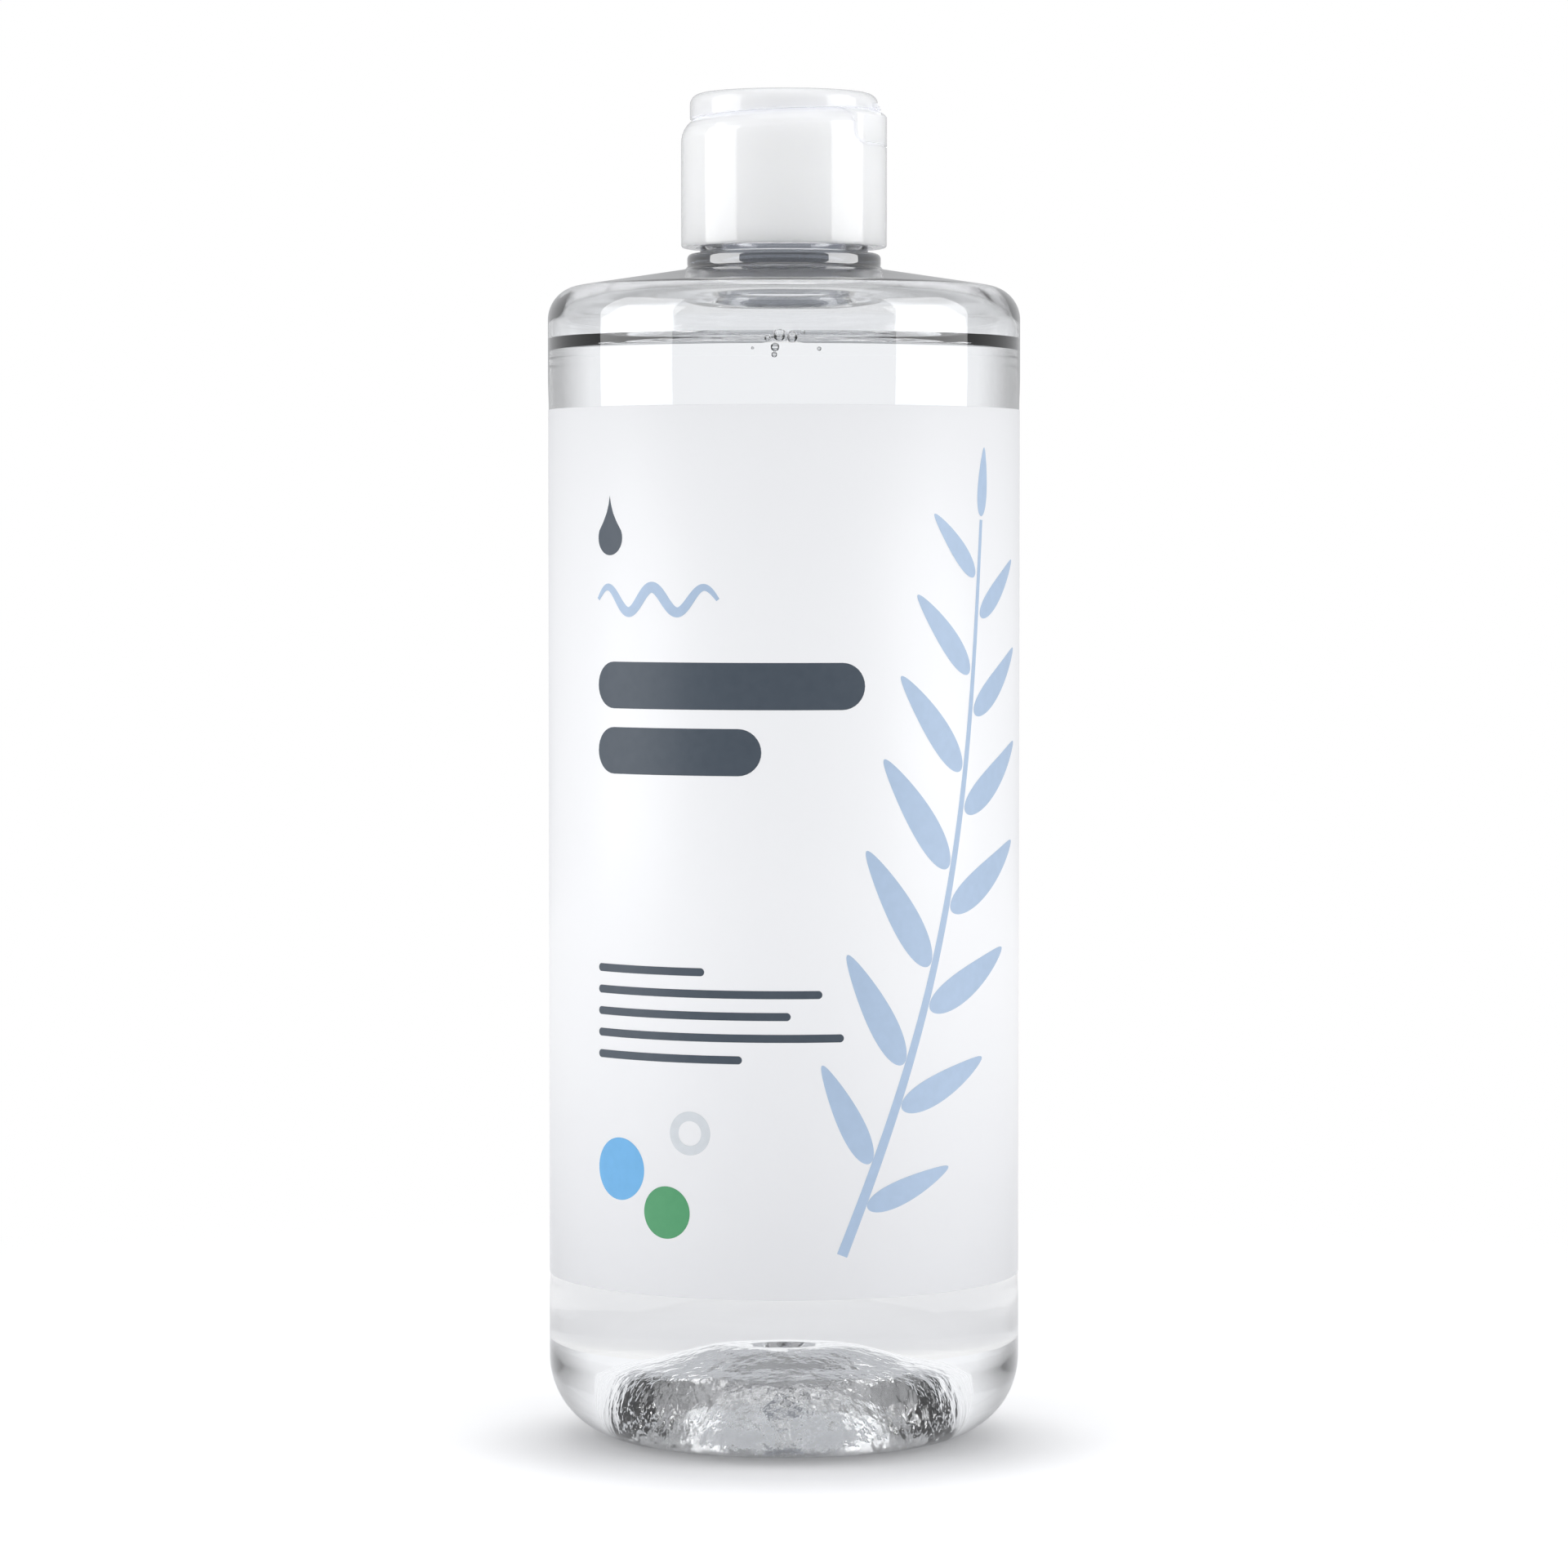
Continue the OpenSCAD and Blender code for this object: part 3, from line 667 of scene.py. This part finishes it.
floor_mat, nodes, links, shader = material("studio_floor")
shader.inputs["Base Color"].default_value = (0.86, 0.86, 0.87, 1)
shader.inputs["Roughness"].default_value = 0.55
coord = nodes.new("ShaderNodeTexCoord")
path = nodes.new("ShaderNodeLightPath")


def distance_from(x, y):
    """Distance over the floor from a place, in metres."""
    move = nodes.new("ShaderNodeVectorMath")
    move.operation = "SUBTRACT"
    move.inputs[1].default_value = (x, y, 0)
    links.new(coord.outputs["Object"], move.inputs[0])
    length = nodes.new("ShaderNodeVectorMath")
    length.operation = "LENGTH"
    links.new(move.outputs["Vector"], length.inputs[0])
    return length.outputs["Value"]


# To the camera the floor is lifted towards white outside the contact shadow. The lift is smaller near the base
# and more so towards the front, which adds painted shade to the real contact shadow. To rays that come through
# the bottle it glows under the base, a painted pool of light in place of the light through the bottle. Further
# out it turns into plain white.
reach = distance_from(0, 0)
lift_with_painted_shade = add_glow(nodes, links, map_range(nodes, links, distance_from(0, -0.012), 0.026, 0.050, 0.1, 0.33, True),
                shader=shader)
painted_glow_under_base = add_glow(nodes, links, map_range(nodes, links, reach, 0.03, 0.09, 0.29, 0, True), (0.93, 0.96, 1, 1),
               shader)
through = mix_shaders(nodes, links, path.outputs["Is Transmission Ray"], shader.outputs[0], painted_glow_under_base)
near = mix_shaders(nodes, links, path.outputs["Is Camera Ray"], through, lift_with_painted_shade)
far = add_glow(nodes, links, map_range(nodes, links, path.outputs["Is Camera Ray"], 0, 1, 0.93, 1.0))
links.new(mix_shaders(nodes, links, map_range(nodes, links, reach, 0.10, 0.26, 0, 1, True), near, far),
          nodes["Material Output"].inputs["Surface"])

bpy.ops.mesh.primitive_circle_add(vertices=96, radius=0.9, fill_type="NGON", location=(0, 0, -0.00005))
ground = bpy.context.object
ground.name = "studio_floor"
ground.data.materials.append(floor_mat)

# The world is white to the camera. To glass it is white behind the bottle and grey to the sides and the front,
# and to gloss it is grey.
world = bpy.data.worlds.new("studio")
bpy.context.scene.world = world
world.use_nodes = True
nodes, links = world.node_tree.nodes, world.node_tree.links
nodes.clear()
coord = nodes.new("ShaderNodeTexCoord")
axes = nodes.new("ShaderNodeSeparateXYZ")
links.new(coord.outputs["Generated"], axes.inputs[0])
path = nodes.new("ShaderNodeLightPath")
depth = map_range(nodes, links, axes.outputs["Y"], -1, 1, 0, 1)


def background(color):
    n = nodes.new("ShaderNodeBackground")
    n.inputs["Color"].default_value = color
    return n


def grey_ramp(stops):
    """A background of bluish greys by the direction's Y: -1 is the camera's side, 1 is behind the bottle."""
    ramp_node = nodes.new("ShaderNodeValToRGB")
    ramp = ramp_node.color_ramp
    while len(ramp.elements) < len(stops):
        ramp.elements.new(0.5)
    for e, (y, grey) in zip(ramp.elements, stops):
        e.position = (y + 1) / 2
        e.color = (0.97 * grey, 0.98 * grey, grey, 1)
    links.new(depth, ramp_node.inputs["Fac"])
    n = background((1, 1, 1, 1))
    links.new(ramp_node.outputs["Color"], n.inputs["Color"])
    return n.outputs[0]


through = grey_ramp(((-1, 0.3), (0.0, 0.45), (0.25, 0.4), (0.45, 0.3), (0.62, 0.5), (0.82, 0.99), (1, 1.0)))
mirrored = grey_ramp(((-1, 0.22), (0.0, 0.38), (0.5, 0.45), (1, 0.55)))
ambient = background((0.97, 0.98, 1.0, 1))
ambient.inputs["Strength"].default_value = 0.66
white = background((1, 1, 1, 1))
by_gloss = mix_shaders(nodes, links, path.outputs["Is Glossy Ray"], ambient.outputs[0], mirrored)
by_glass = mix_shaders(nodes, links, path.outputs["Is Transmission Ray"], by_gloss, through)
by_camera = mix_shaders(nodes, links, path.outputs["Is Camera Ray"], by_glass, white.outputs[0])
links.new(by_camera, nodes.new("ShaderNodeOutputWorld").inputs["Surface"])


def area_light(name, place, aim, size_x, size_y, power):
    data = bpy.data.lights.new(name, "AREA")
    data.shape = "RECTANGLE"
    data.size = size_x
    data.size_y = size_y
    data.energy = power
    obj = bpy.data.objects.new(name, data)
    bpy.context.scene.collection.objects.link(obj)
    obj.location = place
    obj.rotation_euler = (Vector(aim) - Vector(place)).to_track_quat("-Z", "Y").to_euler()
    return obj


SIDE_AZ = radians(76)  # from the camera's side round to each side lamp
SIDE_D = 0.62
SIDE_H = 0.67
for side in (-1, 1):
    area_light(f"softbox_{side}", (side * SIDE_D * sin(SIDE_AZ), -SIDE_D * cos(SIDE_AZ), SIDE_H / 2),
               (0, 0, SIDE_H / 2), 0.50, SIDE_H, 2.05)
area_light("softbox_top", (0, -0.1, 0.95), (0, 0, 0), 0.7, 0.7, 1.0)
fill = area_light("fill_low", (0, -0.32, 0.02), (0, 0, 0.03), 0.5, 0.03, 0.13)
fill.visible_glossy = False
fill.visible_transmission = False

# The camera stands where the photograph was taken from
camera_data = bpy.data.cameras.new("camera")
camera_data.sensor_width = 36
camera_data.lens = 125.6
camera_data.clip_start = 0.05
camera = bpy.data.objects.new("camera", camera_data)
bpy.context.scene.collection.objects.link(camera)
camera.location = (0, -0.77294, 0.12515)
camera.rotation_euler = (radians(90 - 2.444), 0, 0)
bpy.context.scene.camera = camera
bpy.context.scene.view_settings.view_transform = "Standard"
